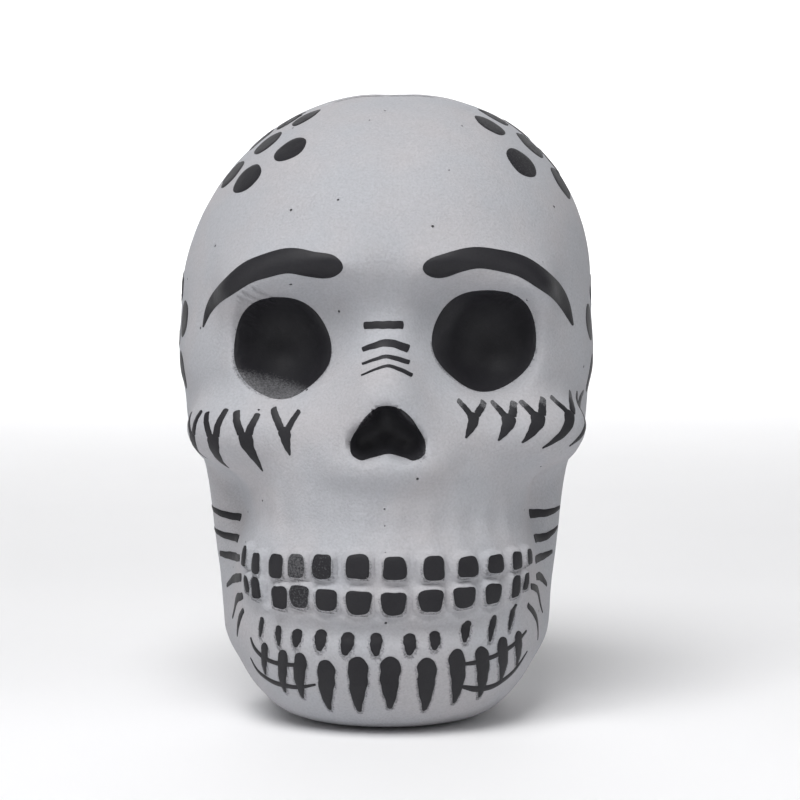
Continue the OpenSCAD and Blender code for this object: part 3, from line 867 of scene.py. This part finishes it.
def grey_foam_skin():
    """Cast polyurethane skin: matt, finely grained, faintly mottled, with a few open pores."""
    f = Finish("grey_foam_skin", FOAM, 0.85, 0.2)
    fine, close, wide = f.grain(0.34, 4), f.grain(1.4, 3), f.grain(11, 2)
    pores = f.pinholes(2.2, 0.22, 0.14)
    tone = 0.77 + 0.38 * fine + 0.05 * close + 0.03 * wide
    mottled = f.blend((*FOAM, 1), (*WARM_FOAM, 1), f.clamped((wide - 0.4) * 4))
    base = f.scaled(mottled, tone)
    base = f.blend(base, (0.02, 0.02, 0.02, 1), pores * 0.9)
    # Stray paint and painted shade: the skin darkens close under the lower rims of the holes and
    # teeth.
    stray_paint_and_shade = f.clamped(f.attribute("spray_and_shade") * 1.5 + f.grain(0.2, 2) * 1.4 - 1.5)
    base = f.blend(base, (0.05, 0.05, 0.055, 1), stray_paint_and_shade)
    height = 0.1 * fine + 0.06 * close - 0.25 * pores
    return f.finished(base, 0.78 + 0.16 * fine, height)


def black_brushed_paint():
    """Thin acrylic paint that takes on the foam's grain and leaves specks bare where worn."""
    f = Finish("black_brushed_paint", PAINT, 0.5, 0.22)
    fine, close, wide = f.grain(0.28, 3), f.grain(1.4, 3), f.grain(6, 2)
    bare = f.clamped((f.attribute("wear") + 0.6 * f.grain(0.24, 3) - 0.62) * 2.3)
    thin = f.blend((*PAINT, 1), (0.03, 0.03, 0.033, 1), f.clamped(0.9 * wide + 0.5 * fine - 0.4))
    base = f.blend(thin, (0.22, 0.22, 0.23, 1), bare)
    height = 0.025 * fine + 0.04 * close - 0.02 * bare
    return f.finished(base, 0.44 + 0.16 * close + 0.3 * bare, height)


def cellular_foam():
    """Open-celled foam under the skin."""
    f = Finish("cellular_foam", CORE, 0.9)
    cells = f.node(
        "ShaderNodeTexVoronoi", {}, {"Vector": f.where, "Scale": 1 / (0.9 * MM)}, "Distance"
    )
    fine = f.grain(0.5, 3)
    base = f.blend((*CORE, 1), (0.36, 0.34, 0.3, 1), f.clamped(1.1 - 1.5 * cells + 0.2 * fine))
    return f.finished(base, 0.84 + 0.12 * fine, 0.3 * cells + 0.05 * fine)


def dress(obj, material):
    obj.data.materials.clear()
    obj.data.materials.append(material)


skin_material, paint_material = grey_foam_skin(), black_brushed_paint()
for half in skin_halves:
    dress(half, skin_material)
for piece in paint_pieces:
    dress(piece, paint_material)
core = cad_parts["foam_core"]
for slot in core.material_slots:
    slot.material = cellular_foam()

# ---- floor, light and camera ---------------------------------------------------


def make_floor():
    """A pale sheet that lies under the head and curves up far behind it."""
    bpy.ops.object.select_all(action="DESELECT")
    bpy.ops.mesh.primitive_grid_add(x_subdivisions=8, y_subdivisions=96, size=6)
    floor = bpy.context.object
    floor.name = floor.data.name = "floor"
    co = points(floor)
    flat_end, bend_r = 1.2, 0.6
    run = np.maximum(co[:, 1] - flat_end, 0)
    turn = np.minimum(run / bend_r, math.pi / 2)
    co[:, 2] = bend_r * (1 - np.cos(turn)) + np.maximum(run - bend_r * math.pi / 2, 0)
    co[:, 1] = np.minimum(co[:, 1], flat_end) + bend_r * np.sin(turn)
    set_points(floor, co)
    only(floor)
    bpy.ops.object.shade_smooth()
    f = Finish("pale_floor", (0.88, 0.88, 0.89), 0.75)
    wide = f.grain(60, 2)
    base = f.blend((0.89, 0.89, 0.9, 1), (0.87, 0.87, 0.88, 1), wide)
    dress(floor, f.finished(base, 0.7 + 0.1 * wide, 0.02 * wide))


def soft_light(name, place, size, power, aim=(0, 0, 0.045)):
    """A square soft box that faces the head or another place."""
    lamp = bpy.data.lights.new(name, "AREA")
    lamp.shape, lamp.size, lamp.energy = "SQUARE", size, power
    box = bpy.data.objects.new(name, lamp)
    bpy.context.collection.objects.link(box)
    box.location = place
    box.rotation_euler = (Vector(aim) - Vector(place)).to_track_quat("-Z", "Y").to_euler()


def make_camera():
    lens = bpy.data.cameras.new("camera")
    lens.sensor_width, lens.lens = 36, 136.8
    lens.shift_x, lens.shift_y = 0.0169, -0.001
    camera = bpy.data.objects.new("camera", lens)
    bpy.context.collection.objects.link(camera)
    aim = Vector((0, -SET_BACK * MM, 0.045))
    distance, elevation = 0.45, math.radians(5)
    camera.location = aim + distance * Vector((0, -math.cos(elevation), math.sin(elevation)))
    camera.rotation_euler = (aim - camera.location).to_track_quat("-Z", "Y").to_euler()
    lens.clip_start = 0.01
    bpy.context.scene.camera = camera


make_floor()
soft_light("key_light", (-0.16, -0.46, 0.86), 0.6, 9.2)
soft_light("right_light", (0.75, -0.45, 0.4), 0.5, 1.2)
soft_light("left_light", (-0.75, -0.45, 0.3), 0.5, 0.9)
soft_light("backdrop_light", (0, 1.0, 1.0), 1.2, 20, (0, 1.8, 0.3))
world = bpy.data.worlds.new("studio")
world.use_nodes = True
world.node_tree.nodes["Background"].inputs["Color"].default_value = (1, 1, 1, 1)
world.node_tree.nodes["Background"].inputs["Strength"].default_value = 0.16
bpy.context.scene.world = world
bpy.context.scene.view_settings.view_transform = "Standard"
make_camera()
